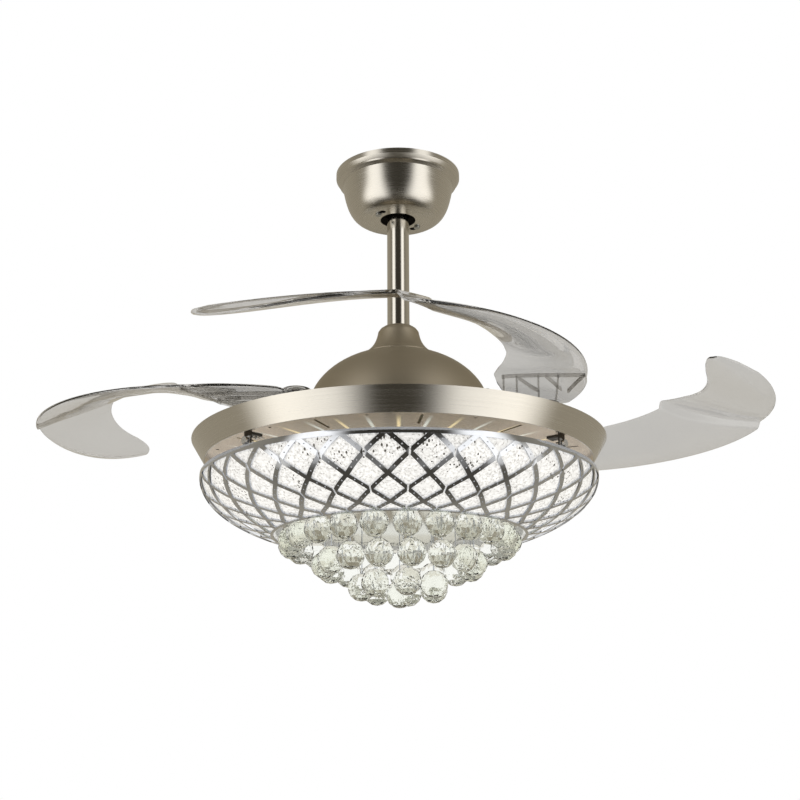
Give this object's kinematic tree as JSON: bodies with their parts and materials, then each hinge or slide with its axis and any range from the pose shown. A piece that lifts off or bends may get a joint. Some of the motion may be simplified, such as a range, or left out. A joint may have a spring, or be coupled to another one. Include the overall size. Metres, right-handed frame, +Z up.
{
  "type": "retractable blade ceiling fan",
  "caption": "Ceiling fan with curved blades that swing out from a turning tray, above a latticed bowl lamp with hanging crystal balls.",
  "frame": {"origin": "centre of the bracket's ceiling face, midway between its two screw slots", "axes": "+Z up into the ceiling, +X along the bracket's two screw slots, -Y towards the viewer of the picture"},
  "size_m": [0.8512, 0.8512, 0.5357],
  "materials": {
    "bracket_steel": "zinc-passivated, satin",
    "black_plastic": "moulded, matt",
    "satin_nickel": "satin nickel plate, spun",
    "ring_nickel": "brushed along the band",
    "dark_steel": "blackened",
    "ball_plastic": "moulded nylon, matt",
    "bright_steel": "turned and ground",
    "zinc_screws": "zinc-plated",
    "core_steel": "stacked sheet, varnished",
    "copper_wire": "enamelled windings",
    "white_enamel": "powder-coated, satin",
    "champagne_mirror": "polished, champagne tint",
    "driver_plastic": "moulded, matt",
    "led_yellow": "phosphor window",
    "board_white": "white solder mask on aluminium",
    "bubble_acrylic": "clear, with small bubbles",
    "lattice_chrome": "polished plate",
    "steel_wire": "bright wire",
    "crystal": "clear, cut with facets",
    "rotor_alloy": "die-cast",
    "magnet_dark": "sintered",
    "tray_alloy": "pressed sheet",
    "buffer_rubber": "moulded",
    "gear_nylon": "moulded nylon",
    "smoked_acrylic": "clear smoke grey"
  },
  "bodies": {
    "ceiling_mount": {"ceiling_bracket": "bracket_steel", "ball_seat": "black_plastic", "canopy": "satin_nickel", "canopy_screws": "zinc_screws", "remote_receiver": "black_plastic"},
    "hanger": {"hanger_ball": "ball_plastic", "hanger_pin": "bright_steel", "downrod": "satin_nickel", "motor_yoke": "dark_steel", "yoke_pin": "bright_steel", "yoke_set_screws": "zinc_screws", "coupling_cover": "satin_nickel", "motor_cover": "satin_nickel", "cover_screws": "zinc_screws", "motor_shaft": "bright_steel", "stator_core": "core_steel", "stator_windings": "copper_wire", "shaft_nuts": "zinc_screws", "lamp_pan": "white_enamel", "ring_band": "ring_nickel", "band_screws": "zinc_screws", "lamp_standoffs": "bright_steel", "under_plate": "champagne_mirror", "led_driver": "driver_plastic", "led_board": "board_white", "led_chips": "led_yellow", "bowl_shade": "bubble_acrylic", "lattice_shade": "lattice_chrome", "shade_brackets": "dark_steel", "shade_screws": "bright_steel", "crystal_plate": "champagne_mirror", "crystal_wires": "steel_wire", "outer_crystals": "crystal", "middle_crystals": "crystal", "inner_crystals": "crystal", "centre_crystal": "crystal"},
    "rotor": {"rotor_shell": "rotor_alloy", "rotor_base": "rotor_alloy", "rotor_magnets": "magnet_dark", "rotor_bearings": "bright_steel", "blade_tray": "tray_alloy", "tray_screws": "zinc_screws", "pivot_pins": "bright_steel", "pivot_nuts": "zinc_screws", "stop_buffers": "buffer_rubber", "return_springs": "bright_steel"},
    "sync_ring": {"sync_gear": "gear_nylon"},
    "blade_arm_1": {"blade_1": "smoked_acrylic", "blade_hub_1": "gear_nylon", "hub_screws_1": "zinc_screws"},
    "blade_arm_2": {"blade_2": "smoked_acrylic", "blade_hub_2": "gear_nylon", "hub_screws_2": "zinc_screws"},
    "blade_arm_3": {"blade_3": "smoked_acrylic", "blade_hub_3": "gear_nylon", "hub_screws_3": "zinc_screws"},
    "blade_arm_4": {"blade_4": "smoked_acrylic", "blade_hub_4": "gear_nylon", "hub_screws_4": "zinc_screws"}
  },
  "joints": [
    {"name": "hanger_tilt", "type": "hinge", "parent": "ceiling_mount", "child": "hanger", "pos_m": [0, 0, -0.027], "axis": [1, 0, 0], "range_deg": [-11, 11]},
    {"name": "rotor_spin", "type": "hinge", "parent": "hanger", "child": "rotor", "pos_m": [0, 0, -0.3457], "axis": [0, 0, 1], "continuous": true},
    {"name": "blade_1_fold", "type": "hinge", "parent": "rotor", "child": "blade_arm_1", "pos_m": [0.10806, 0.16112, -0.3457], "axis": [0, 0, 1], "range_deg": [-58, 0]},
    {"name": "blade_2_fold", "type": "hinge", "parent": "rotor", "child": "blade_arm_2", "pos_m": [-0.16112, 0.10806, -0.3457], "axis": [0, 0, 1], "range_deg": [-58, 0]},
    {"name": "blade_3_fold", "type": "hinge", "parent": "rotor", "child": "blade_arm_3", "pos_m": [-0.10806, -0.16112, -0.3457], "axis": [0, 0, 1], "range_deg": [-58, 0]},
    {"name": "blade_4_fold", "type": "hinge", "parent": "rotor", "child": "blade_arm_4", "pos_m": [0.16112, -0.10806, -0.3457], "axis": [0, 0, 1], "range_deg": [-58, 0]},
    {"name": "sync_ring_turn", "type": "hinge", "parent": "rotor", "child": "sync_ring", "pos_m": [0, 0, -0.3457], "axis": [0, 0, 1], "range_deg": [0, 20.15]}
  ],
  "couplings": [
    {"joint": "blade_2_fold", "follows": "blade_1_fold", "ratio": 1},
    {"joint": "blade_3_fold", "follows": "blade_1_fold", "ratio": 1},
    {"joint": "blade_4_fold", "follows": "blade_1_fold", "ratio": 1},
    {"joint": "sync_ring_turn", "follows": "blade_1_fold", "ratio": -0.34722}
  ]
}
